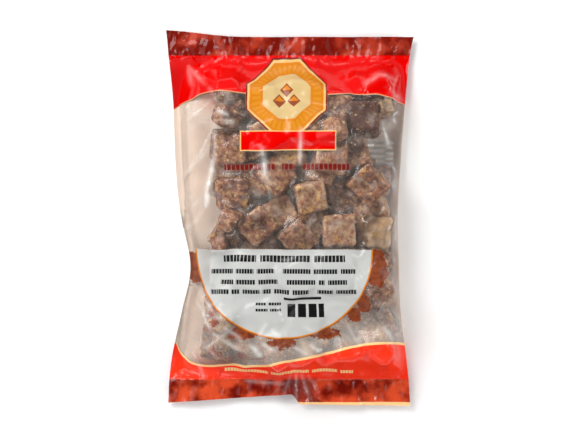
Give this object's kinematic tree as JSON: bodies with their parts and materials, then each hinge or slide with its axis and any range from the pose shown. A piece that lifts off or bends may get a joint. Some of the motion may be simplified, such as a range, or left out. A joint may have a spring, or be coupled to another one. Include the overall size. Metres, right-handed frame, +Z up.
{
  "type": "sealed bag of jaggery cubes",
  "caption": "Flat pillow bag of clear printed film, welded at both ends and filled with loose jaggery cubes, lying on its back.",
  "frame": {"origin": "on the table, under the middle of the bag's box", "axes": "+Y along the bag towards its top seal, +Z up out of the printed front, +X to the right as the front is read"},
  "size_m": [0.1582, 0.24, 0.0407],
  "materials": {
    "film": "glossy clear film with printed red bands, as seen over brown cubes",
    "jaggery": "matte, crystalline and crumbly brown cane sugar"
  },
  "bodies": {
    "root": {"bag": "film"}
  },
  "joints": []
}
